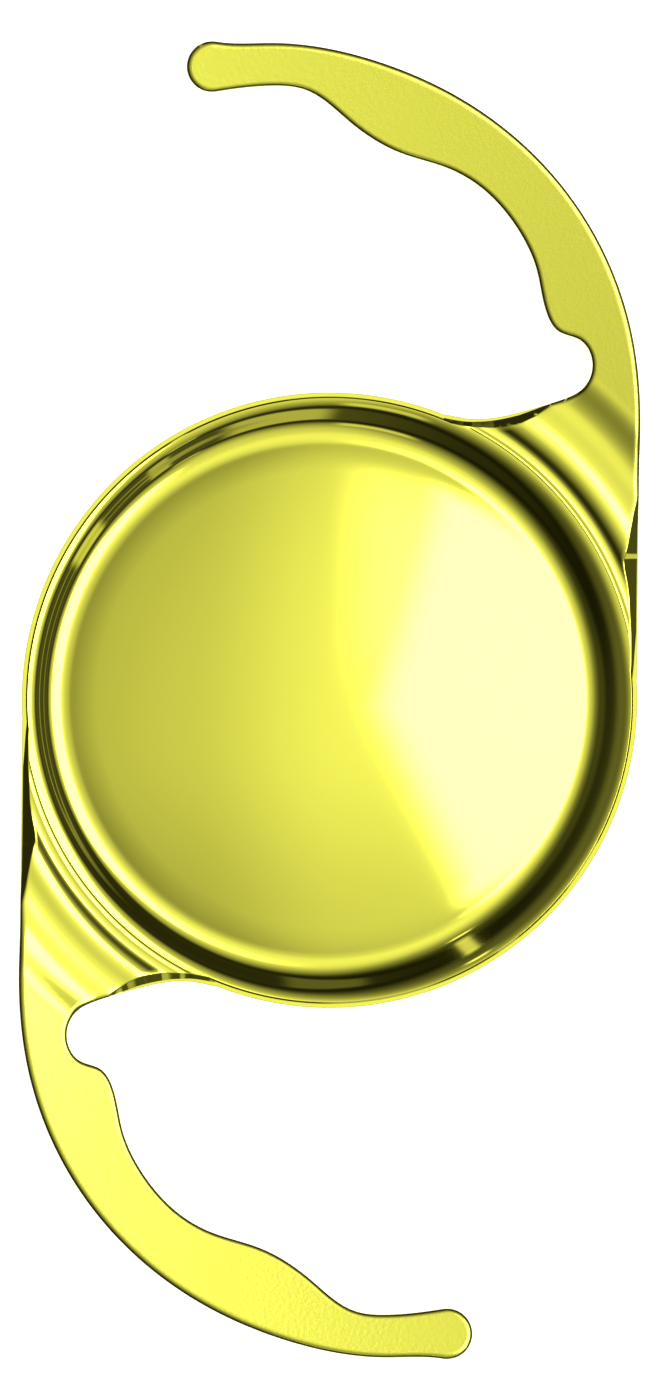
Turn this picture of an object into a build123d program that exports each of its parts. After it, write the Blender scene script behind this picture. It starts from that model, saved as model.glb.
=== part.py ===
from build123d import *
import math
import os

# Foldable one-piece intraocular lens, lathe-cut and milled from one button of clear
# yellow acrylic: a round optic with two curved haptic arms.
# Frame: the optical axis is Z and +Z is the anterior side, the posterior apex
# touches z = 0, and the arms reach furthest along Y. Lengths are millimetres.

# Optic. The soft lens flattens a little at the small round spot that it lies on.
optic_diameter = 6.0
centre_thickness = 0.75
anterior_radius = 14.0
posterior_radius = 15.0
rest_radius = 0.4

# Turned ring round the optic, from the dome outward: shoulder, valley, ramp, crest
shoulder_radius = 3.0
shoulder_slope = 14.0
valley_radius = 0.37
ramp_slope = 36.0
ramp_straight = 0.059
crest_radius = 0.22
crest_slope = 4.0
crest_set_in = 0.065

# Rim: the ledge in front of the square posterior edge. Its wall cuts the crest
# where that still climbs at the crest slope.
ledge_height = 0.50
crest_wall_draft = 0.02

# Anterior face of the arms, turned with the optic: a fine crease, then waves. Each
# wave is a run outward from the one before it and a height above the crest.
crest_run = 0.052
crease_width = 0.022
crease_depth = 0.008
floor_fall = 0.15
wave_floor = (0.028, -0.003)
ridge_side = (0.097, 0.023)
ridge = (0.127, 0.054)
saddle = (0.137, 0.0455)
rise = (0.175, 0.054)
step_foot = (0.117, 0.0586)
step_middle = (0.156, 0.092)
step_top = (0.146, 0.127)
plate_run = 0.078
arm_angulation = 4.5
arm_thickness = 0.42

# Plan outline of the upper arm. Each point is an angle round the axis from +X, in
# degrees, and a distance out from the rim of the optic.
flank_start = (3.0, 0.0)
flank_end = (35.1, 0.685)
outer_bend = (41.0, 1.011)
outer_shoulder = (50.0, 1.596)
outer_quarter = (59.0, 2.144)
outer_half = (68.0, 2.608)
outer_crown = (77.0, 2.973)
outer_far = (86.0, 3.245)
outer_end = (95.0, 3.424)
tip_middle = (100.5, 3.274)
tip_radius = 0.244
tip_taper = 0.045
neck_hollow = (95.6, 3.011)
neck_end = (92.3, 2.950)
bulge_start = (88.1, 2.643)
bulge_middle = (82.5, 2.372)
bulge_end = (77.5, 2.308)
soft_corner = (73.9, 2.220)
inner_high = (68.6, 1.965)
inner_middle = (64.3, 1.653)
inner_low = (60.9, 1.337)
notch_lip = (58.1, 1.230)
notch_top = (55.2, 1.274)
notch_deep = (51.8, 1.142)
notch_foot = (50.9, 0.914)
run_in = (52.4, 0.690)
dip_start = (55.6, 0.429)
dip_low = (63.5, 0.066)
dip_end = (69.0, 0.0)
run_out_middle = (82.0, -0.003)
run_out_end = (95.0, 0.0)

# Headings of the outline, as (x, y), where its stretches meet
outer_heading = (0.0, 1.0)
tip_heading = (-1.0, 0.0)
neck_heading = (1.0, 0.05)
inner_heading = (0.14, -1.0)
notch_heading = (1.0, -0.25)
run_in_heading = (-1.0, -0.36)
run_out_heading = (-1.0, -0.09)

# The root of each arm is milled back above the ledge, with a sloping wall on both
# flanks. Its foot lies on the ledge and its top meets the turned face.
flank_foot = ((20.0, 0.157), (24.5, 0.264), (27.5, 0.354), (32.1, 0.522))
flank_top = ((20.4, 0.099), (25.3, 0.168), (28.1, 0.291), (32.4, 0.494))
flank_foot_end = (5.8, -0.022)
flank_top_end = (7.8, -0.041)
dip_foot = ((55.4, 0.401), (63.3, 0.030), (69.0, -0.042))
dip_top = ((55.4, 0.311), (63.8, -0.013), (69.0, -0.070))
wall_height = 0.175

# How far a cutting or joining shape runs past the surface that it meets
overrun = 0.3
root_low_end = (1.0, -0.12)
root_high_end = (75.0, -0.12)

# The lower arm is the upper one turned half way round the axis
arm_spacing = 180.0

optic_radius = optic_diameter / 2
crest_edge = optic_radius - crest_set_in
half_turn = Rotation(0, 0, arm_spacing)


def at(point):
    """Plan position of an angle round the axis and a distance out from the rim."""
    reach = optic_radius + point[1]
    return (reach * math.cos(math.radians(point[0])), reach * math.sin(math.radians(point[0])))


def along(*points):
    """Plan positions of several outline points."""
    return [at(point) for point in points]


def back_height(reach):
    """Height of the posterior dome at a distance from the axis."""
    return math.sqrt(posterior_radius**2 - rest_radius**2) - math.sqrt(posterior_radius**2 - reach**2)


def turned_section():
    """Half section of the turned blank: optic, ring, and the faces of the arms."""
    steep = math.radians(ramp_slope)
    lip = math.radians(crest_slope)
    fall = math.radians(shoulder_slope)
    # the valley floor lies inward of the crest by the ramp's three parts
    valley_x = (
        crest_edge
        - crest_radius * (math.sin(steep) - math.sin(lip))
        - ramp_straight * math.cos(steep)
        - valley_radius * math.sin(steep)
    )
    # the shoulder arc joins the dome where their slopes are equal
    shoulder_x = valley_x - valley_radius * math.sin(fall) - shoulder_radius * math.sin(fall)
    join = math.asin(shoulder_x / (anterior_radius - shoulder_radius))

    dome = JernArc((0, centre_thickness), (1, 0), anterior_radius, -math.degrees(join))
    shoulder = JernArc(dome @ 1, dome % 1, shoulder_radius, math.degrees(join) - shoulder_slope)
    valley = JernArc(shoulder @ 1, shoulder % 1, valley_radius, shoulder_slope + ramp_slope)
    ramp = Line(valley @ 1, (valley @ 1) + (valley % 1) * ramp_straight)
    crest = JernArc(ramp @ 1, ramp % 1, crest_radius, -ramp_slope)

    def beyond(reach, height):
        """Point outward of the crest's top and above it."""
        return ((crest @ 1).X + reach, (crest @ 1).Y + height)

    climb = math.tan(math.radians(arm_angulation))
    reach = crest_run + crease_width
    crease = Polyline(
        crest @ 1,
        beyond(crest_run, 0),
        beyond(crest_run + crease_width / 2, -crease_depth),
        beyond(reach, 0),
    )
    wave_points = [beyond(reach, 0)]
    for run, height in (wave_floor, ridge_side, ridge, saddle, rise, step_foot, step_middle, step_top):
        reach += run
        wave_points.append(beyond(reach, height))
    plate_start = beyond(reach + plate_run, step_top[1] + plate_run * climb)
    waves = Spline(*wave_points, plate_start, tangents=((1, -floor_fall), (1, climb)))
    # out along the plate, down its far end and back under the arm to the rim
    far = optic_radius + tip_middle[1] + tip_radius + overrun
    far_height = plate_start[1] + (far - plate_start[0]) * climb
    rim_back = back_height(optic_radius)
    shell = Polyline(
        plate_start,
        (far, far_height),
        (far, far_height - arm_thickness),
        (plate_start[0], plate_start[1] - arm_thickness),
        (optic_radius, plate_start[1] - arm_thickness),
        (optic_radius, rim_back),
    )
    half_way = optic_radius / 2
    back = ThreePointArc((optic_radius, rim_back), (half_way, back_height(half_way)), (rest_radius, 0))
    rest = Line((rest_radius, 0), (0, 0))
    axis = Line((0, 0), (0, centre_thickness))
    return make_face([dome, shoulder, valley, ramp, crest, crease, waves, shell, back, rest, axis])


def arm_edge():
    """Edge of the upper arm in plan, from the end of its flank to its run-in."""
    tip = at(tip_middle)
    cap_start = (tip[0] + tip_taper, tip[1] + tip_radius)
    cap_end = (tip[0] + tip_taper, tip[1] - tip_radius)
    outer = Spline(
        *along(
            flank_end, outer_bend, outer_shoulder, outer_quarter, outer_half,
            outer_crown, outer_far, outer_end,
        ),
        cap_start,
        tangents=(outer_heading, tip_heading),
    )
    cap = ThreePointArc(cap_start, (tip[0] - tip_radius, tip[1]), cap_end)
    inner = Spline(
        cap_end,
        *along(
            neck_hollow, neck_end, bulge_start, bulge_middle, bulge_end,
            soft_corner, inner_high, inner_middle, inner_low,
        ),
        tangents=(neck_heading, inner_heading),
    )
    lip = Spline(*along(inner_low, notch_lip), tangents=(inner_heading, notch_heading))
    notch = Spline(
        *along(notch_lip, notch_top, notch_deep, notch_foot, run_in),
        tangents=(notch_heading, run_in_heading),
    )
    return [outer, cap, inner, lip, notch]


def arm_plan():
    """Plan face of the arm beyond its root."""
    edges = arm_edge()
    return make_face(edges + [Line(edges[-1] @ 1, edges[0] @ 0)])


def base_plan():
    """Plan face of the optic and both arm roots, as they are below the ledge."""
    flank = Line(*along(flank_start, flank_end))
    chord = Line(*along(flank_end, run_in))
    dip = Spline(
        *along(run_in, dip_start, dip_low, dip_end, run_out_middle, run_out_end),
        tangents=(run_in_heading, run_out_heading),
    )
    next_flank = flank_start[0] + arm_spacing
    half_way = (run_out_end[0] + next_flank) / 2
    rim = ThreePointArc(*along(run_out_end, (half_way, 0.0), (next_flank, 0.0)))
    half = [flank, chord, dip, rim]
    return make_face(half + [half_turn * edge for edge in half])


def root_plan(flank_wall, flank_wall_end, dip_wall):
    """Plan face of the raised root, between its two flank walls."""
    flank = Polyline(*along(root_low_end, flank_wall_end, *flank_wall, flank_end))
    chord = Line(*along(flank_end, run_in))
    dip = Spline(*along(run_in, *dip_wall, root_high_end))
    inside = Line(*along(root_high_end, root_low_end))
    return make_face([flank, chord, dip, inside])


def root_solid():
    """Raised root of the upper arm, its walls sloping back from foot to top."""
    foot = root_plan(flank_foot, flank_foot_end, dip_foot).face()
    top = root_plan(flank_top, flank_top_end, dip_top).face()
    foot = foot.moved(Location((0, 0, ledge_height)))
    top = top.moved(Location((0, 0, ledge_height + wall_height)))
    walls = Solid.make_loft([foot.outer_wire(), top.outer_wire()], ruled=True)
    return walls + extrude(top, amount=overrun)


def lens_body():
    """The whole lens: plan shapes stacked on each other, trimmed by the turned blank."""
    height = centre_thickness + overrun
    base = extrude(base_plan(), amount=ledge_height)
    crest_wall = make_face(
        Polyline(
            (0, 0), (crest_edge + crest_wall_draft, 0), (crest_edge + crest_wall_draft, ledge_height),
            (crest_edge, ledge_height + wall_height), (crest_edge, height), (0, height), (0, 0),
        )
    )
    stock = base + revolve(Plane.XZ * crest_wall, axis=Axis.Z)
    arm = extrude(arm_plan(), amount=height)
    root = root_solid()
    for piece in (root, arm):
        stock = stock + piece
        stock = stock + half_turn * piece
    blank = revolve(Plane.XZ * turned_section(), axis=Axis.Z)
    return stock & blank


os.makedirs("parts", exist_ok=True)
body = lens_body()
export_step(body, "parts/lens_body.step")
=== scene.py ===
# %% [markdown]
# # A foldable intraocular lens
# The real lens is one piece of soft acrylic: a round optic with a turned ring near its
# rim, and two curved arms that hold it centred in the eye. It could be carved from one
# block, but here it is modelled the way it is machined. The optic is turned by spinning
# a profile, each arm is a strip that follows its milled outline, and a union makes the
# three one skin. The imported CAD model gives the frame, and everything stays on it.

# %% Load the frame
import bpy
import math
import numpy as np
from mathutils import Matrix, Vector


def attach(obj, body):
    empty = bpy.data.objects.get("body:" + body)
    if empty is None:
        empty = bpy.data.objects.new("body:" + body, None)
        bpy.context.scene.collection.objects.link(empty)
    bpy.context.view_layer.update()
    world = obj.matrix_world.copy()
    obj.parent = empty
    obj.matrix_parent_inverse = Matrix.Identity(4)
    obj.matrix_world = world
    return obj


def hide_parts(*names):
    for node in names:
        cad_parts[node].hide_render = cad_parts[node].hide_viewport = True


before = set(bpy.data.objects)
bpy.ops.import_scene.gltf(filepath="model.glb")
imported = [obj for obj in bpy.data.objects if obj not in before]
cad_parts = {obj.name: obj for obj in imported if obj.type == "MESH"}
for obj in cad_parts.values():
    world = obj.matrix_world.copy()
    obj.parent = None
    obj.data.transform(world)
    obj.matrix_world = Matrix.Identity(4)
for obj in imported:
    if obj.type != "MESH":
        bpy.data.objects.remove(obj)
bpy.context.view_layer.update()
mm = 0.001

# %% [markdown]
# Operators act on whatever is selected, so each step starts from an empty selection and
# names its own object.

# %% Selection helpers
def only(piece):
    """Select one object alone and make it active."""
    bpy.ops.object.select_all(action="DESELECT")
    piece.select_set(True)
    bpy.context.view_layer.objects.active = piece


def edit(piece):
    """Open one object in edit mode, with its vertices to select."""
    only(piece)
    bpy.ops.object.mode_set(mode="EDIT")
    bpy.ops.mesh.select_mode(type="VERT")


def close_edit():
    """Leave edit mode."""
    bpy.ops.object.mode_set(mode="OBJECT")


# %% [markdown]
# The turned profile is drawn like a lathe operator would describe it: start at the apex,
# follow an arc of a known radius through a known turn, and carry on from there. A small
# walker does this. It keeps the place and the heading, so each arc leaves the last one
# smoothly, and that smoothness is what the polished highlights show. From the dome
# outward the ring has a rounded shoulder, a valley, a straight ramp, a brow and a crest
# of its own radius, and its outer wall falls to a flat ledge round the rim. All values
# are in millimetres and degrees, measured from the axis and from the posterior apex.

# %% Sizes of the turned profile
optic_radius = 3.0
centre_thickness = 0.75
anterior_radius = 14.0
posterior_radius = 15.0
shoulder_radius = 3.0
shoulder_slope = 14.0
valley_radius = 0.35
ramp_slope = 34.0
ramp_straight = 0.048
brow_radius = 0.42
brow_slope = 17.0
crest_radius = 0.277
crest_slope = 10.4
crest_edge = 2.941
wall_slope = 35.0
wall_width = 0.018
wall_bevel = 0.005
ledge_height = 0.50
ledge_foot = 2.964
ledge_bevel = 0.004
rest_radius = 0.4
print("optic across, mm:", 2 * optic_radius, "thickness, mm:", centre_thickness)


# %% A walker for profiles
class Walker:
    """Follows a profile in the (reach, height) plane."""

    def __init__(self, start, heading=0.0):
        self.points = [start]
        self.heading = heading

    def line(self, length, steps=1):
        """Go straight on."""
        angle = math.radians(self.heading)
        for _ in range(steps):
            x, z = self.points[-1]
            step = length / steps
            self.points.append((x + step * math.cos(angle), z + step * math.sin(angle)))

    def arc(self, radius, turn, steps):
        """Follow an arc. A positive turn climbs and a negative one falls."""
        part = turn / steps
        chord = 2 * radius * math.sin(math.radians(abs(part)) / 2)
        for _ in range(steps):
            angle = math.radians(self.heading + part / 2)
            x, z = self.points[-1]
            self.points.append((x + chord * math.cos(angle), z + chord * math.sin(angle)))
            self.heading += part

    def to(self, x, z, steps=1):
        """Go straight to a point."""
        x_start, z_start = self.points[-1]
        for k in range(1, steps + 1):
            share = k / steps
            self.points.append((x_start + (x - x_start) * share, z_start + (z - z_start) * share))
        self.heading = math.degrees(math.atan2(z - z_start, x - x_start))


# %% Walk the profile of the optic
def sine(angle):
    """Sine of an angle in degrees."""
    return math.sin(math.radians(angle))


valley_x = (
    crest_edge
    - crest_radius * (sine(brow_slope) - sine(crest_slope))
    - brow_radius * (sine(ramp_slope) - sine(brow_slope))
    - ramp_straight * math.cos(math.radians(ramp_slope))
    - valley_radius * sine(ramp_slope)
)
shoulder_x = valley_x - (valley_radius + shoulder_radius) * sine(shoulder_slope)
join = math.degrees(math.asin(shoulder_x / (anterior_radius - shoulder_radius)))

walk = Walker((0.0, centre_thickness))
walk.arc(anterior_radius, -join, steps=18)
walk.arc(shoulder_radius, join - shoulder_slope, steps=12)
walk.arc(valley_radius, shoulder_slope + ramp_slope, steps=22)
walk.line(ramp_straight, steps=2)
walk.arc(brow_radius, brow_slope - ramp_slope, steps=10)
walk.arc(crest_radius, crest_slope - brow_slope, steps=5)
crest_height = walk.points[-1][1] + crest_radius * (1 - math.cos(math.radians(crest_slope)))
walk.arc(wall_bevel, -crest_slope - wall_slope, steps=3)
walk.line(wall_width, steps=2)
walk.to(ledge_foot, ledge_height, steps=4)
walk.to(optic_radius - ledge_bevel, ledge_height)
walk.to(optic_radius, ledge_height - ledge_bevel)

# the back is a dome as well, flattened in a small round spot where the lens lies on it
back_centre = math.sqrt(posterior_radius**2 - rest_radius**2)
walk.to(optic_radius, back_centre - math.sqrt(posterior_radius**2 - optic_radius**2), steps=3)
back_steps = 16
for k in range(1, back_steps + 1):
    x = optic_radius + (rest_radius - optic_radius) * k / back_steps
    walk.points.append((x, back_centre - math.sqrt(posterior_radius**2 - x**2)))
walk.points.append((0.0, 0.0))
print("profile points:", len(walk.points), "crest height, mm:", round(crest_height, 4))

# %% [markdown]
# The optic could be a scaled sphere, but then the ring would have to be cut into it. A
# spin keeps the rings exact. A plane merged to one vertex gives the first point, each
# extrude adds the next one, and the spin sweeps the line once round the optical axis.
# The last turn meets the first, so the doubles are merged and the normals recalculated.

# %% Turn the optic
turns = 320
merge_gap = 0.0003 * mm


def spun(name, profile):
    """A solid of revolution from a list of (reach, height) points."""
    start = (profile[0][0] * mm, 0, profile[0][1] * mm)
    bpy.ops.object.select_all(action="DESELECT")
    bpy.ops.mesh.primitive_plane_add(size=mm, location=start)
    piece = bpy.context.object
    piece.name = name
    bpy.ops.object.transform_apply(location=True, rotation=True, scale=True)
    edit(piece)
    bpy.ops.mesh.select_all(action="SELECT")
    bpy.ops.mesh.merge(type="CENTER")
    for before, after in zip(profile, profile[1:]):
        step = ((after[0] - before[0]) * mm, 0, (after[1] - before[1]) * mm)
        bpy.ops.mesh.extrude_region_move(TRANSFORM_OT_translate={"value": step})
    bpy.ops.mesh.select_all(action="SELECT")
    bpy.ops.mesh.spin(steps=turns, angle=2 * math.pi, center=(0, 0, 0), axis=(0, 0, 1))
    bpy.ops.mesh.select_all(action="SELECT")
    bpy.ops.mesh.remove_doubles(threshold=merge_gap)
    bpy.ops.mesh.normals_make_consistent(inside=False)
    close_edit()
    return piece


lens = spun("lens", walk.points)
print("optic faces:", len(lens.data.polygons))

# %% [markdown]
# The arms follow a free outline, so their shape starts from a few points: an angle round
# the axis and a distance out from the rim, as they would be read off a drawing. A smooth
# curve goes through them. Bezier handles could do this by hand, but an interpolating
# cubic needs no handles and gives the same curve each time.

# %% Outline of the upper arm
rim_dive = ((79.0, -0.11), (74.0, -0.045), (69.0, 0.0))
dip = ((63.5, 0.066), (55.6, 0.429), (52.4, 0.690))
notch = ((50.9, 0.914), (51.8, 1.142), (55.2, 1.274), (58.1, 1.230))
inner_edge = (
    (60.9, 1.337), (64.3, 1.653), (68.6, 1.965), (73.9, 2.220), (77.5, 2.308),
    (82.5, 2.372), (88.1, 2.643), (92.3, 2.950), (95.6, 3.011),
)
flank = ((0.6, -0.005), (35.1, 0.685))
outer_edge = (
    (41.0, 1.011), (50.0, 1.596), (59.0, 2.144), (68.0, 2.608),
    (77.0, 2.973), (86.0, 3.245), (95.0, 3.424),
)
tip_middle = (100.5, 3.274)
tip_radius = 0.246
tip_start = 80.0
cap_points = 80
flank_points = 500


def at(point):
    """Plan position of an angle round the axis and a distance out from the rim."""
    reach = optic_radius + point[1]
    return np.array([reach * math.cos(math.radians(point[0])), reach * sine(point[0])])


def smooth_path(points, first=None, last=None, spacing=0.004):
    """Dense points of a cubic that passes through all the given ones."""
    p = np.array(points, float)
    h = np.linalg.norm(np.diff(p, axis=0), axis=1)
    count = len(p)
    left = np.zeros((count, count))
    right = np.zeros((count, 2))
    # at each inner point the curve bends alike on both sides, and that gives the slopes
    for k in range(1, count - 1):
        left[k, k - 1:k + 2] = (1 / h[k - 1], 2 / h[k - 1] + 2 / h[k], 1 / h[k])
        right[k] = 3 * ((p[k + 1] - p[k]) / h[k] ** 2 + (p[k] - p[k - 1]) / h[k - 1] ** 2)
    left[0, :2] = (2, 1)
    right[0] = 3 * (p[1] - p[0]) / h[0]
    left[-1, -2:] = (1, 2)
    right[-1] = 3 * (p[-1] - p[-2]) / h[-1]
    if first is not None:
        left[0, :2] = (1, 0)
        right[0] = np.array(first) / np.linalg.norm(first)
    if last is not None:
        left[-1, -2:] = (0, 1)
        right[-1] = np.array(last) / np.linalg.norm(last)
    slope = np.linalg.solve(left, right)
    dense = [p[0]]
    for k in range(count - 1):
        steps = max(2, round(h[k] / spacing))
        for j in range(1, steps + 1):
            t = j / steps
            dense.append(
                (1 + 2 * t) * (1 - t) ** 2 * p[k]
                + t * (1 - t) ** 2 * h[k] * slope[k]
                + t * t * (3 - 2 * t) * p[k + 1]
                - t * t * (1 - t) * h[k] * slope[k + 1]
            )
    return np.array(dense)


# %% The two sides of the arm
tip = at(tip_middle)


def cap(angle_from, angle_to):
    """Points of the round tip between two directions."""
    angles = np.radians(np.linspace(angle_from, angle_to, cap_points))
    return tip + tip_radius * np.column_stack((np.cos(angles), np.sin(angles)))


upper_cap = cap(tip_start, 180)
lower_cap = cap(360 - tip_start, 180)
cap_heading = upper_cap[1] - upper_cap[0]
flank_line = np.linspace(at(flank[0]), at(flank[1]), flank_points)
outer_curve = smooth_path(
    [at(flank[1]), *[at(point) for point in outer_edge], upper_cap[0]],
    first=(0, 1), last=cap_heading,
)
outer_side = np.concatenate((flank_line, outer_curve[1:], upper_cap[1:]))
inner_curve = smooth_path(
    [at(point) for point in rim_dive + dip + notch + inner_edge] + [lower_cap[0]],
    last=lower_cap[1] - lower_cap[0],
)
inner_side = np.concatenate((inner_curve, lower_cap[1:]))


def lengths(path):
    """Distance along a path at each of its points."""
    return np.concatenate(([0], np.cumsum(np.linalg.norm(np.diff(path, axis=0), axis=1))))


print("outer side, mm:", round(lengths(outer_side)[-1], 2))
print("inner side, mm:", round(lengths(inner_side)[-1], 2))

# %% [markdown]
# Across its edge the arm has a section that changes along the way. At the root the edge
# stands back from the outline: a narrow strip of ledge, a short upright, then a slope up
# to the polished top. Further out the strip and the slope run out and only a soft round
# is left. Each value is given at a few distances from the axis and blended between them.

# %% Edge section along the arm
flank_strip = ((2.99, 0.060), (3.015, 0.034), (3.07, 0.012), (3.44, 0.010), (3.57, 0.0))
flank_slope = (
    (2.99, 0.015), (3.018, 0.023), (3.039, 0.032), (3.069, 0.046), (3.111, 0.058), (3.164, 0.067),
    (3.213, 0.087), (3.266, 0.116), (3.302, 0.124), (3.333, 0.102), (3.374, 0.082), (3.449, 0.053),
    (3.518, 0.032), (3.60, 0.0),
)
dip_strip = ((2.95, 0.060), (3.0, 0.040), (3.10, 0.025), (3.35, 0.025), (3.60, 0.0))
dip_slope = (
    (2.95, 0.020), (3.0, 0.030), (3.08, 0.045), (3.20, 0.070),
    (3.32, 0.078), (3.45, 0.055), (3.60, 0.0),
)
edge_round = ((3.30, 0.012), (3.70, 0.050))
edge_fall = 35.0
root_ledge_height = 0.504
strip_lift = 0.002
ledge_blend = (3.50, 3.68)
arm_thickness = 0.42
arm_angulation = 4.5
underside_round = 0.02


def blended(table, reach):
    """Value of a table at some distances from the axis."""
    return np.interp(reach, [row[0] for row in table], [row[1] for row in table])


widest = max(flank_slope, key=lambda row: row[1])
print("flank slope is widest, mm:", widest[1], "at", widest[0], "from the axis")

# %% [markdown]
# The top of the arm was turned together with the optic, so its height depends only on
# the distance from the axis. It carries the crest's own arc on, and then come a crease, a
# floor with a faint ridge, the main ridge, a saddle, and a step up to the plain plate,
# which climbs at the arm's angle. The underside is flat below the root and then climbs
# with the plate.

# %% Heights of the arm
crest_middle = crest_edge + crest_radius * sine(crest_slope)
crest_seam = 2.938
seam_run = 0.012
seam_drop = 0.020
seam_step = 0.0002
crease_start = 2.979
crease_floor = 2.990
waves = (
    (3.003, -0.0065), (3.017, -0.0048), (3.030, -0.0028), (3.050, -0.0045), (3.070, -0.0052),
    (3.087, -0.0050), (3.097, -0.0041), (3.107, -0.0019), (3.117, 0.0011), (3.130, 0.0061),
    (3.155, 0.0172), (3.180, 0.0278), (3.198, 0.0342), (3.210, 0.0378), (3.237, 0.0441),
    (3.260, 0.0475), (3.285, 0.0490), (3.413, 0.0415), (3.588, 0.0485), (3.705, 0.0535),
    (3.861, 0.0875), (4.007, 0.1225), (4.085, 0.1286),
)
wave_start_slope = 0.0
climb = math.tan(math.radians(arm_angulation))
wave_line = smooth_path(waves, first=(1, wave_start_slope), last=(1, climb), spacing=0.002)
plate_start, plate_rise = waves[-1]
crest_points = 6
plate_length = 5.0


def top_height(reach):
    """Height of the anterior face at distances from the axis."""
    crest_x = np.linspace(crest_seam, crease_start, crest_points)
    crest_z = seam_step - (crest_middle - crest_x) ** 2 / (2 * crest_radius)
    plate_end = (plate_start + plate_length, plate_rise + plate_length * climb)
    x = np.concatenate((
        (0, crest_seam - seam_run), crest_x, [crease_floor], wave_line[:, 0], plate_end[:1],
    ))
    z = np.concatenate((
        (-seam_drop, -seam_drop), crest_z, [waves[0][1]], wave_line[:, 1], plate_end[1:],
    ))
    return crest_height + np.interp(reach, x, z)


def under_height(reach):
    """Height of the posterior face at distances from the axis."""
    low = crest_height + plate_rise - arm_thickness
    return low + np.maximum(0, reach - plate_start) * climb


print("plate starts at, mm:", plate_start, "height there, mm:", round(crest_height + plate_rise, 4))

# %% [markdown]
# A grid primitive gives the rows and columns, and its vertices are then placed by
# formula. Moving them by hand could follow the outline too, but the ridges have to run
# in circles round the optic, as on the real lens, or their highlights break up. So each
# row near the root keeps one distance from the axis, and the rows fan out beyond it.
# There each stretch is given by a point of the inner side, the angle of the outer point
# that faces it, and how many rows lead up to them.

# %% Choose the rows
root_rows = np.concatenate((
    (crest_seam - seam_run, crest_seam, 2.943, 2.952, 2.965),
    (crease_start, crease_floor, waves[0][0]),
    np.arange(3.010, 3.135, 0.007),
    np.arange(3.140, 3.50, 0.012),
    np.arange(3.50, plate_start, 0.02),
    [plate_start],
))
row_pairs = (
    ((55.2, 1.274), 46.5, 14), ((58.1, 1.230), 49.0, 12), ((60.9, 1.337), 52.0, 12),
    ((68.6, 1.965), 63.0, 26), ((77.5, 2.308), 75.5, 22), ((88.1, 2.643), 87.0, 26),
)
neck_rows = 20
cap_rows = 18
print("rows near the root:", len(root_rows))


# %% Find each row's ends on both sides
def inward(path, turn):
    """Unit vectors at right angles to a path, turned to the arm's inside."""
    along = np.gradient(path, axis=0)
    along /= np.linalg.norm(along, axis=1)[:, None]
    return np.column_stack((-turn * along[:, 1], turn * along[:, 0]))


def inset(side, strip, slope, turn):
    """Distances from the axis of the line where the top's round begins."""
    reach = np.hypot(*side.T)
    width = blended(strip, reach) + blended(slope, reach) + blended(edge_round, reach)
    return np.hypot(*(side + inward(side, turn) * width[:, None]).T)


def crossing(values, target):
    """First place where rising values pass a target, as an index with a share."""
    k = int(np.argmax(values >= target))
    if k == 0 or values[k] == values[k - 1]:
        return float(k)
    return k - 1 + max(0.0, (target - values[k - 1]) / (values[k] - values[k - 1]))


outer_inset = inset(outer_side, flank_strip, flank_slope, 1)
inner_inset = inset(inner_side, dip_strip, dip_slope, -1)
outer_places = [crossing(outer_inset, reach) for reach in root_rows]
inner_places = [crossing(inner_inset, reach) for reach in root_rows]
print("last root row, point on the outer side:", int(outer_places[-1]), "of", len(outer_side))

# %% Carry the rows on to the tip
outer_run = lengths(outer_side)
inner_run = lengths(inner_side)
outer_angle = np.degrees(np.arctan2(outer_side[:, 1], outer_side[:, 0]))


def add_rows(inner_to, outer_to, count):
    """Rows at even steps along both sides, up to two places given as indices."""
    inner_from = np.interp(inner_places[-1], range(len(inner_run)), inner_run)
    outer_from = np.interp(outer_places[-1], range(len(outer_run)), outer_run)
    for k in range(1, count + 1):
        share = k / count
        inner_at = inner_from + (inner_run[inner_to] - inner_from) * share
        outer_at = outer_from + (outer_run[outer_to] - outer_from) * share
        inner_places.append(np.interp(inner_at, inner_run, range(len(inner_run))))
        outer_places.append(np.interp(outer_at, outer_run, range(len(outer_run))))


for inner_point, angle, count in row_pairs:
    inner_index = int(np.argmin(np.linalg.norm(inner_side - at(inner_point), axis=1)))
    add_rows(inner_index, int(np.argmax(outer_angle >= angle)), count)
add_rows(len(inner_side) - cap_points, len(outer_side) - cap_points, neck_rows)
add_rows(len(inner_side) - 1, len(outer_side) - 1, cap_rows)
rows = len(outer_places)
print("rows along the arm:", rows)

# %% Points of one edge section
round_steps = 5
slope_steps = 2
under_steps = 4


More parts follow.
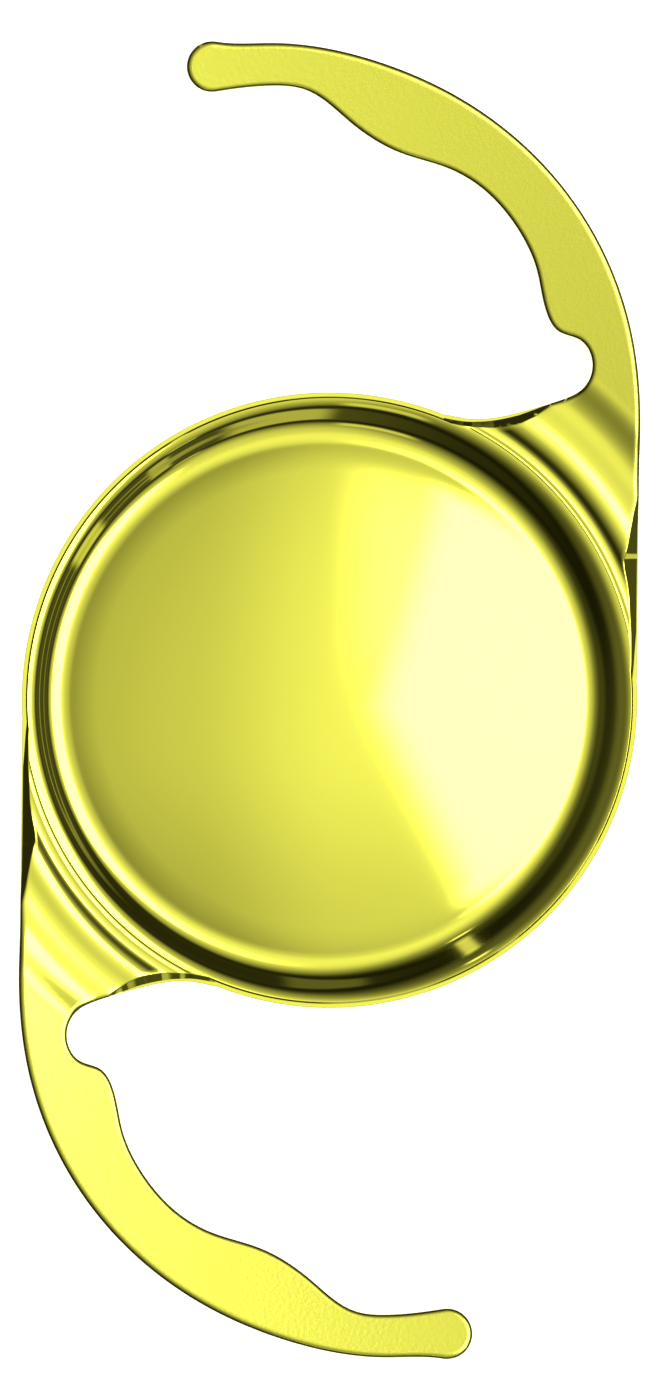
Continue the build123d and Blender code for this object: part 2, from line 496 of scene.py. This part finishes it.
def edge_section(side, strip_table, slope_table, turn, places):
    """Edge points of every row, from the underside's round to the top's round."""
    index = np.arange(len(side))
    normals = inward(side, turn)
    base = np.column_stack([np.interp(places, index, side[:, k]) for k in (0, 1)])
    across = np.column_stack([np.interp(places, index, normals[:, k]) for k in (0, 1)])
    across /= np.linalg.norm(across, axis=1)[:, None]
    reach = np.hypot(*base.T)
    strip = blended(strip_table, reach)
    slope = blended(slope_table, reach)
    round_width = blended(edge_round, reach)
    fall = math.radians(edge_fall)
    round_radius = round_width / math.sin(fall)
    width = strip + slope + round_width
    top = top_height(np.hypot(*(base + across * width[:, None]).T))
    under = under_height(reach)
    slope_top = top - round_radius * (1 - math.cos(fall))
    slope_foot = slope_top - slope * math.tan(fall)
    root = 1 - np.interp(reach, ledge_blend, (0, 1))
    ledge = root_ledge_height * root + (under + slope_foot) / 2 * (1 - root)
    points = []
    for k in range(under_steps + 1):
        turned = math.radians(90 * k / under_steps)
        inset_by = underside_round * (1 - math.sin(turned))
        points.append((np.full(rows, inset_by), under + underside_round * (1 - math.cos(turned))))
    points.append((np.zeros(rows), ledge - ledge_bevel))
    points.append((np.minimum(ledge_bevel, strip / 2), ledge))
    points.append((strip, ledge + strip_lift * (1 - root)))
    points.append((strip, slope_foot))
    for k in range(1, slope_steps + 1):
        share = k / slope_steps
        points.append((strip + slope * share, slope_foot + (slope_top - slope_foot) * share))
    for k in range(1, round_steps + 1):
        turned = fall * (1 - k / round_steps)
        inset_by = width - round_radius * math.sin(turned)
        points.append((inset_by, top - round_radius * (1 - math.cos(turned))))
    return base, across, points


# %% Place the grid
def strip_of(side, strip_table, slope_table, turn, places):
    """Edge points as one array: rows, points, (x, y, z)."""
    base, across, points = edge_section(side, strip_table, slope_table, turn, places)
    placed = np.zeros((rows, len(points), 3))
    for k, (inset_by, height) in enumerate(points):
        placed[:, k, :2] = base + across * np.asarray(inset_by).reshape(-1, 1)
        placed[:, k, 2] = height
    return placed


outer_edge_points = strip_of(outer_side, flank_strip, flank_slope, 1, outer_places)
inner_edge_points = strip_of(inner_side, dip_strip, dip_slope, -1, inner_places)
print("points up one edge:", outer_edge_points.shape[1])

# %% Join both edges into closed sections
top_columns = 30
under_columns = 14


def face_points(start, end, columns, height):
    """Points between two edges, along circles where both are as far from the axis."""
    reach = [np.hypot(p[:, 0], p[:, 1]) for p in (start, end)]
    angle = [np.arctan2(p[:, 1], p[:, 0]) for p in (start, end)]
    placed = np.zeros((rows, columns - 1, 3))
    for k in range(1, columns):
        share = k / columns
        r = reach[0] * (1 - share) + reach[1] * share
        a = angle[0] * (1 - share) + angle[1] * share
        placed[:, k - 1] = np.column_stack((r * np.cos(a), r * np.sin(a), height(r)))
    return placed


top_points = face_points(outer_edge_points[:, -1], inner_edge_points[:, -1], top_columns, top_height)
under_points = face_points(inner_edge_points[:, 0], outer_edge_points[:, 0], under_columns, under_height)
inner_downward = inner_edge_points[:, ::-1]
first_again = outer_edge_points[:, :1]
section = np.concatenate(
    (outer_edge_points, top_points, inner_downward, under_points, first_again), axis=1,
)
print("rows:", rows, "points round each row:", section.shape[1])

# %% [markdown]
# The arm's inner end is a long arc, and one flat face across it would cut through the
# valley of the ring. So two more rows lead that end down and in first, and it closes deep
# inside the optic, where the union removes it.

# %% Bury the inner end
low_middle = 0.37
sunk_in = 0.97
sunk_height = 0.1
buried_in = 0.3
sunk = section[:1].copy()
sunk[:, :, :2] *= sunk_in
sunk[:, :, 2] = low_middle + (sunk[:, :, 2] - low_middle) * sunk_height
buried = sunk.copy()
buried[:, :, :2] *= buried_in
section = np.concatenate((buried, sunk, section))
grid_rows, columns = section.shape[:2]
print("rows with the buried ones:", grid_rows)


# %% Shape the arm
def make_arm(name, turned):
    """One arm, as a closed strip, turned round the axis by half a turn or not at all."""
    bpy.ops.object.select_all(action="DESELECT")
    bpy.ops.mesh.primitive_grid_add(
        x_subdivisions=columns - 1, y_subdivisions=grid_rows - 1, size=mm,
    )
    piece = bpy.context.object
    piece.name = name
    placed = section.copy()
    if turned:
        placed[:, :, :2] *= -1
    piece.data.vertices.foreach_set("co", (placed * mm).ravel())
    piece.data.update()
    edit(piece)
    bpy.ops.mesh.select_all(action="SELECT")
    bpy.ops.mesh.remove_doubles(threshold=merge_gap)
    bpy.ops.mesh.select_all(action="DESELECT")
    bpy.ops.mesh.select_non_manifold()
    bpy.ops.mesh.edge_face_add()
    bpy.ops.mesh.select_all(action="SELECT")
    bpy.ops.mesh.normals_make_consistent(inside=False)
    close_edit()
    return piece


arms = [make_arm("arm_up", False), make_arm("arm_down", True)]
print("faces of an arm:", len(arms[0].data.polygons))

# %% [markdown]
# The arms' roots run into the optic under its crest. Joining the meshes would leave
# hidden walls inside, so a Boolean union makes one closed skin. The seam falls just
# inside the crest's outer edge, where both follow the same arc, so it doesn't show.

# %% Unite the optic and the arms
for arm in arms:
    only(lens)
    union = lens.modifiers.new("union", "BOOLEAN")
    union.operation = "UNION"
    union.solver = "EXACT"
    union.object = arm
    bpy.ops.object.modifier_apply(modifier=union.name)
    bpy.data.objects.remove(arm, do_unlink=True)
edit(lens)
bpy.ops.mesh.select_all(action="SELECT")
bpy.ops.mesh.remove_doubles(threshold=merge_gap)
bpy.ops.mesh.select_all(action="DESELECT")
bpy.ops.mesh.select_non_manifold()
close_edit()
print("open edges after the union:", sum(edge.select for edge in lens.data.edges))
edit(lens)
bpy.ops.mesh.select_all(action="SELECT")
bpy.ops.mesh.normals_make_consistent(inside=False)
close_edit()

# %% [markdown]
# Smooth shading carries the highlights across the facets, and a limit keeps the turned
# edges sharp. The bevel on the ledge turns by 45 degrees, more than the limit, so the
# ledge mirrors as a flat ring.

# %% Smooth the facets
smooth_angle = math.radians(32)
only(lens)
bpy.ops.object.shade_smooth_by_angle(angle=smooth_angle)
print("lens faces:", len(lens.data.polygons))

# %% [markdown]
# In the photograph the ring sits a little off the rim's centre, so its dark band is
# wider on the right. The points of the front face are moved over together, those of the
# valley on the right a little further still, and the move fades out across the ramp, so
# the crest and the rim stay true. It comes after the union, so that the optic and the
# arms still share one centre while they are joined.

# %% Set the ring off centre
ring_offset = np.array((-0.043, 0.011))
grows_from = 2.55
grown = 1.45
most_moved = 2.70
still_from = 2.88


def eased(share):
    """A smooth step from 0 to 1."""
    share = np.clip(share, 0, 1)
    return share**2 * (3 - 2 * share)


spots = np.empty(len(lens.data.vertices) * 3)
lens.data.vertices.foreach_get("co", spots)
spots = spots.reshape(-1, 3) / mm
distance = np.hypot(spots[:, 0], spots[:, 1])
more = eased((distance - grows_from) / (most_moved - grows_from))
less = eased((still_from - distance) / (still_from - most_moved))
towards = spots[:, :2] @ ring_offset / np.linalg.norm(ring_offset) / np.maximum(distance, 1)
in_front = spots[:, 2] > ledge_height
moved = (1 + (grown - 1) * more * (1 - towards) / 2) * less * in_front
spots[:, :2] += moved[:, None] * ring_offset
lens.data.vertices.foreach_set("co", (spots * mm).ravel())
lens.data.update()
print("front points moved:", int((moved > 0).sum()))

# %% [markdown]
# In the photograph the acrylic reads as polished chartreuse: the optic mirrors the
# studio, and the plates of the arms are satin. It could be clear glass, but the lens was
# photographed on white and shows no floor through it, so a metallic gloss in the
# acrylic's yellow comes closer. One material serves the whole lens, because it is one
# piece: the distance from the axis drives the roughness and a very fine grain.

# %% Finish of the acrylic
acrylic_colour = (0.9, 0.89, 0.1, 1)
# the darker yellow is painted shade, laid on the steep faces of the ring and the flanks
painted_shade_colour = (0.2, 0.195, 0.022, 1)
steep_limit = 0.90
gentle_limit = 0.94
leaning_limit = 0.5
upright_limit = 0.2
polished = 0.07
satin = 0.16
satin_share = 0.78
satin_from = 3.75
satin_to = 4.15
grain_scale = 26000
grain_depth = 0.0006 * mm

acrylic = bpy.data.materials.new("acrylic")
acrylic.use_nodes = True
tree = acrylic.node_tree
shader = tree.nodes["Principled BSDF"]
shader.inputs["Metallic"].default_value = 1.0


def node(kind, **values):
    """A new node with some of its inputs set by name."""
    made = tree.nodes.new(kind)
    for key, value in values.items():
        made.inputs[key.replace("_", " ")].default_value = value
    return made


def link(source, output, target, slot):
    """Connect two nodes."""
    tree.links.new(source.outputs[output], target.inputs[slot])


print("polished up to, mm:", satin_from, "satin from, mm:", satin_to)

# %% Polish and satin
surface = node("ShaderNodeTexCoord")
apart = node("ShaderNodeSeparateXYZ")
flat = node("ShaderNodeCombineXYZ")
from_axis = node("ShaderNodeVectorMath")
from_axis.operation = "LENGTH"
on_arm = node("ShaderNodeMapRange", From_Min=satin_from * mm, From_Max=satin_to * mm)
on_arm.interpolation_type = "SMOOTHSTEP"
roughness = node("ShaderNodeMapRange", To_Min=polished, To_Max=satin)
grain = node("ShaderNodeTexNoise", Scale=grain_scale, Detail=2.0)
bump = node("ShaderNodeBump", Distance=grain_depth)
link(surface, "Object", apart, 0)
link(apart, "X", flat, "X")
link(apart, "Y", flat, "Y")
link(flat, 0, from_axis, 0)
link(from_axis, "Value", on_arm, "Value")
link(on_arm, "Result", roughness, "Value")
link(roughness, "Result", shader, "Roughness")
link(surface, "Object", grain, "Vector")
link(grain, 0, bump, "Height")
link(on_arm, "Result", bump, "Strength")
link(bump, "Normal", shader, "Normal")
print("nodes of the finish:", len(tree.nodes))

# %% [markdown]
# The grooves and flanks look deeper in the photograph than a mirror of one colour would
# make them. So steep faces take a darker yellow, which is painted shade for the dark that
# their slopes mirror, and upright walls the bright one again.
# How steep a face is comes from the Z part of its own normal, which doesn't change with
# the camera. On the satin plates the bright yellow is mixed down a little.

# %% Painted shade by steepness
facing = node("ShaderNodeSeparateXYZ")
gentle = node("ShaderNodeMapRange", From_Min=steep_limit, From_Max=gentle_limit)
gentle.interpolation_type = "SMOOTHSTEP"
upright = node("ShaderNodeMapRange", From_Min=leaning_limit, From_Max=upright_limit)
upright.interpolation_type = "SMOOTHSTEP"
bright = node("ShaderNodeMath")
bright.operation = "MAXIMUM"
dulled = node("ShaderNodeMapRange", To_Min=1.0, To_Max=satin_share)
mixed_in = node("ShaderNodeMath")
mixed_in.operation = "MULTIPLY"
# steep faces get the painted shade colour, mixed in by their slope
painted_shade_mix = node("ShaderNodeMix")
painted_shade_mix.data_type = "RGBA"
painted_shade_mix.inputs["A"].default_value = painted_shade_colour
painted_shade_mix.inputs["B"].default_value = acrylic_colour
link(surface, "Normal", facing, 0)
link(facing, "Z", gentle, "Value")
link(facing, "Z", upright, "Value")
link(gentle, "Result", bright, 0)
link(upright, "Result", bright, 1)
link(on_arm, "Result", dulled, "Value")
link(bright, 0, mixed_in, 0)
link(dulled, "Result", mixed_in, 1)
link(mixed_in, 0, painted_shade_mix, "Factor")
link(painted_shade_mix, "Result", shader, "Base Color")
lens.data.materials.clear()
lens.data.materials.append(acrylic)
print("material:", lens.data.materials[0].name, "nodes:", len(tree.nodes))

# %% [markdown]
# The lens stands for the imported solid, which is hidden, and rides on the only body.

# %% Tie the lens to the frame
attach(lens, "root")
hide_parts("lens_body")
print("the lens stands for lens_body")

# %% [markdown]
# The photograph shows the lens on plain white. More light would bleach the lens too, so
# the floor is a wide pale sheet whose emission lifts it to white for the camera and for
# reflections, while the object's soft shadow stays.

# %% Floor
floor_size = 3.0
floor_colour = (0.93, 0.93, 0.93, 1)
floor_lift = 0.80

bpy.ops.object.select_all(action="DESELECT")
bpy.ops.mesh.primitive_plane_add(size=floor_size)
floor = bpy.context.object
floor.name = "floor"
paper = bpy.data.materials.new("paper")
paper.use_nodes = True
tree = paper.node_tree
tree.nodes.clear()
matt = node("ShaderNodeBsdfDiffuse", Color=floor_colour)
glow = node("ShaderNodeEmission")
rays = node("ShaderNodeLightPath")
seen_straight = node("ShaderNodeMath")
seen_straight.operation = "MAXIMUM"
seen_at_all = node("ShaderNodeMath")
seen_at_all.operation = "MAXIMUM"
lift = node("ShaderNodeMath")
lift.operation = "MULTIPLY"
lift.inputs[1].default_value = floor_lift
both = node("ShaderNodeAddShader")
result = node("ShaderNodeOutputMaterial")
link(rays, "Is Camera Ray", seen_straight, 0)
link(rays, "Is Transmission Ray", seen_straight, 1)
link(rays, "Is Glossy Ray", seen_at_all, 0)
link(seen_straight, 0, seen_at_all, 1)
link(seen_at_all, 0, lift, 0)
link(lift, 0, glow, "Strength")
link(matt, 0, both, 0)
link(glow, 0, both, 1)
link(both, 0, result, "Surface")
floor.data.materials.append(paper)
print("floor, m:", floor_size, "lifted by:", floor_lift)

# %% [markdown]
# A polished lens shows its surroundings more than its colour, so the studio is part of
# the look. Lamps and cards could stand round the lens, but a soft room written in the
# world needs no objects and leaves the floor clean. Directions are measured as x/z and
# y/z, so a distance of 0.1 is about six degrees from straight up.

# %% Helpers for the studio
world = bpy.data.worlds.new("studio")
bpy.context.scene.world = world
world.use_nodes = True
tree = world.node_tree
tree.nodes.clear()


def between(value, low, high, to_low=0.0, to_high=1.0):
    """A smooth step of a value between two limits."""
    made = node("ShaderNodeMapRange", From_Min=low, From_Max=high, To_Min=to_low, To_Max=to_high)
    made.interpolation_type = "SMOOTHSTEP"
    tree.links.new(value, made.inputs["Value"])
    return made.outputs["Result"]


def maths(operation, first, second):
    """One step of arithmetic on two values, each a number or an output."""
    made = node("ShaderNodeMath")
    made.operation = operation
    for k, value in enumerate((first, second)):
        if isinstance(value, (int, float)):
            made.inputs[k].default_value = value
        else:
            tree.links.new(value, made.inputs[k])
    return made.outputs[0]


sky = node("ShaderNodeTexCoord")
apart = node("ShaderNodeSeparateXYZ")
link(sky, "Generated", apart, 0)
across, upward, high = (apart.outputs[k] for k in range(3))
lowest = 0.02
above = maths("MAXIMUM", high, lowest)
u = maths("DIVIDE", across, above)
v = maths("DIVIDE", upward, above)
print("nodes that give a direction:", len(tree.nodes))

# %% [markdown]
# The ceiling is brightest a little to the right of straight up and fades to a dark band
# all round. It is also a quarter darker to the left and downwards, and that gives the
# dome its slow change from olive to lemon.

# %% Ceiling
brightest = (0.22, -0.065)
half_across = 0.71
half_upward = 0.665
left_share = 0.75
down_share = 0.76

tilt_left = between(u, -0.20, 0.03, left_share)
tilt_down = between(v, -0.34, -0.05, down_share)
off_u = maths("DIVIDE", maths("SUBTRACT", u, brightest[0]), half_across)
off_v = maths("DIVIDE", maths("SUBTRACT", v, brightest[1]), half_upward)
off = maths("ADD", maths("MULTIPLY", off_u, off_u), maths("MULTIPLY", off_v, off_v))
fade = maths("DIVIDE", 1.0, maths("ADD", 1.0, maths("MULTIPLY", off, off)))
ceiling = maths("MULTIPLY", maths("MULTIPLY", tilt_left, tilt_down), fade)
print("ceiling brightest at:", brightest)

# %% [markdown]
# The softbox is the large pale shape on the right of the dome. Its left edge is soft and
# comes to a blunt point in the middle, as it does in the photograph. A weaker glow lies
# beside it, above that point.

# %% Softbox and its glow
softbox_level = 4.4
glow_level = 1.2
point_at = -0.01
point_lean = 0.39
whole_lean = -0.11

side = maths("ABSOLUTE", maths("SUBTRACT", v, point_at), 0)
lean = maths("ADD", maths("MULTIPLY", side, point_lean), maths("MULTIPLY", v, whole_lean))
soft_left = between(maths("SUBTRACT", u, lean), 0.035, 0.115)
soft_right = between(u, 0.72, 0.56)
soft_ends = between(side, 0.45, 0.30)
softbox = maths("MULTIPLY", maths("MULTIPLY", soft_left, soft_ends), soft_right)
glow_left = maths("MULTIPLY", between(u, 0.0, 0.10), between(u, 0.30, 0.16))
glow_up = maths("MULTIPLY", between(v, -0.02, 0.10), between(v, 0.46, 0.22))
veil = maths("MULTIPLY", maths("MULTIPLY", glow_left, glow_up), glow_level)
lamps = maths("MAXIMUM", maths("MULTIPLY", softbox, softbox_level), veil)
print("softbox level:", softbox_level, "glow level:", glow_level)

# %% [markdown]
# Low in the room a faint light comes off the walls, more of it from the lower right. It
# lifts the steep sides of the ring a little out of black.

# %% Light off the walls
dark_level = 0.01
wall_faint = 0.09
wall_strong = 0.30

toward = maths("SUBTRACT", maths("MULTIPLY", across, 0.7), maths("MULTIPLY", upward, 0.6))
low_down = between(high, 0.64, 0.50)
wall_light = maths("MULTIPLY", low_down, between(toward, 0.10, 0.60, wall_faint, wall_strong))
light = maths("ADD", maths("ADD", ceiling, lamps), maths("ADD", wall_light, dark_level))
print("darkest level of the room:", dark_level)

# %% [markdown]
# The short bright streaks in the ring come from small panels. Each has an angle round
# from the right, an angle from straight up, half its width and half its height, all in
# degrees, and a level.

# %% Small panels
full_width = 0.6
full_height = 0.5
heading = maths("ARCTAN2", upward, across)
fall = maths("ARCCOSINE", high, 0)


def strip_of_light(value, middle, half, full_share):
    """A soft band of directions about a middle angle, both in degrees."""
    apart_by = maths("ABSOLUTE", maths("SUBTRACT", value, math.radians(middle)), 0)
    return between(apart_by, math.radians(half), math.radians(half * full_share))


def panel(azimuth, zenith, half_wide, half_high, level):
    """A small bright panel in one direction."""
    wide = strip_of_light(heading, azimuth, half_wide, full_width)
    tall = strip_of_light(fall, zenith, half_high, full_height)
    return maths("MULTIPLY", maths("MULTIPLY", wide, tall), level)


panels = (
    (-80, 70, 13, 14, 1.8), (-60, 48, 4, 4, 1.0), (-54, 72, 3, 14, 1.8), (-33, 76, 6, 14, 2.6),
    (120, 58, 2, 14, 3.6), (120, 37, 3, 3, 1.2), (90, 64, 10, 10, 0.42), (141, 60, 13, 9, 0.3),
    (-101, 40, 10, 6, 0.5),
)
for direction_and_size in panels:
    light = maths("ADD", light, panel(*direction_and_size))
print("panels:", len(panels))

# %% [markdown]
# The room ends just above the horizon. Below it everything is pale, most towards the
# lower right, and the camera itself sees plain white there.

# %% Horizon and background
room_ends = 0.05
horizon_faint = 0.25
horizon_strong = 1.1

light = maths("MULTIPLY", light, maths("GREATER_THAN", high, room_ends))
pale = between(toward, -0.1, 0.5, horizon_faint, horizon_strong)
horizon = maths("MULTIPLY", between(high, 0.20, 0.10), pale)
light = maths("ADD", light, horizon)
rays = node("ShaderNodeLightPath")
light = maths("MAXIMUM", light, rays.outputs["Is Camera Ray"])
background = node("ShaderNodeBackground", Color=(1, 1, 1, 1))
result = node("ShaderNodeOutputWorld")
tree.links.new(light, background.inputs["Strength"])
link(background, 0, result, "Surface")
print("nodes of the studio:", len(tree.nodes))

# %% [markdown]
# The camera looks straight down the optical axis from far away with a long lens, so the
# lens keeps its true proportions. The photograph is 663 by 1400 pixels, and one pixel is
# 0.00975 mm at the optic.

# %% Camera
pixel = 0.00975
photo_width = 663
photo_height = 1400
optic_seen_at = (329.6, 700.2)
camera_distance = 300.0
sensor = 36.0

camera = bpy.data.objects.new("camera", bpy.data.cameras.new("camera"))
bpy.context.scene.collection.objects.link(camera)
camera.data.sensor_width = sensor
camera.data.lens = sensor * camera_distance / (photo_height * pixel)
camera.data.clip_start = 0.01
camera.data.clip_end = 10
offset_x = (photo_width / 2 - optic_seen_at[0]) * pixel
offset_y = (optic_seen_at[1] - photo_height / 2) * pixel
camera.location = Vector((offset_x, offset_y, camera_distance + ledge_height)) * mm
bpy.context.scene.camera = camera
print("camera lens, mm:", round(camera.data.lens, 1))

# %% [markdown]
# Last, the picture's colours are left as they are.

# %% Colours of the picture
bpy.context.scene.view_settings.view_transform = "Standard"
bpy.context.view_layer.update()
